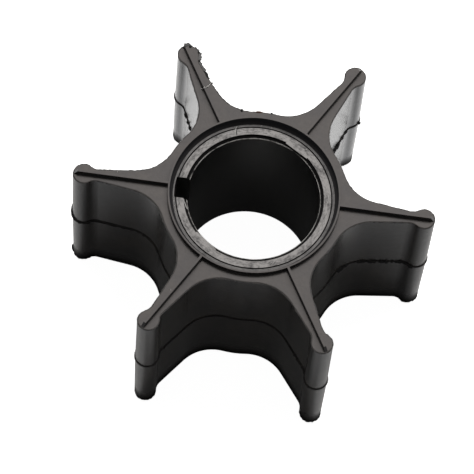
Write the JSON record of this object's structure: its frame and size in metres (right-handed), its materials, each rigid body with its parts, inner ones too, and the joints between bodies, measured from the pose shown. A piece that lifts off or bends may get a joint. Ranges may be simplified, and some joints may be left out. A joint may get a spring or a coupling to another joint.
{
  "type": "rubber pump impeller",
  "caption": "Moulded rubber impeller with straight flexible vanes ending in round beads, bonded round a hard keyed hub insert; raised sealing ridges on both end faces.",
  "frame": {"origin": "on the shaft axis at the crown plane of the lower sealing ridges, the bottom centre of the bounding box", "axes": "+Z along the shaft axis; the vane in line with the keyway points along -X and the vanes follow every 60 degrees"},
  "size_m": [0.0656, 0.0574, 0.0347],
  "materials": {
    "rubber": "matte moulded",
    "hub_insert": "matte, finely ground ends"
  },
  "bodies": {
    "root": {"rubber_body": "rubber", "hub_insert": "hub_insert"}
  },
  "joints": []
}
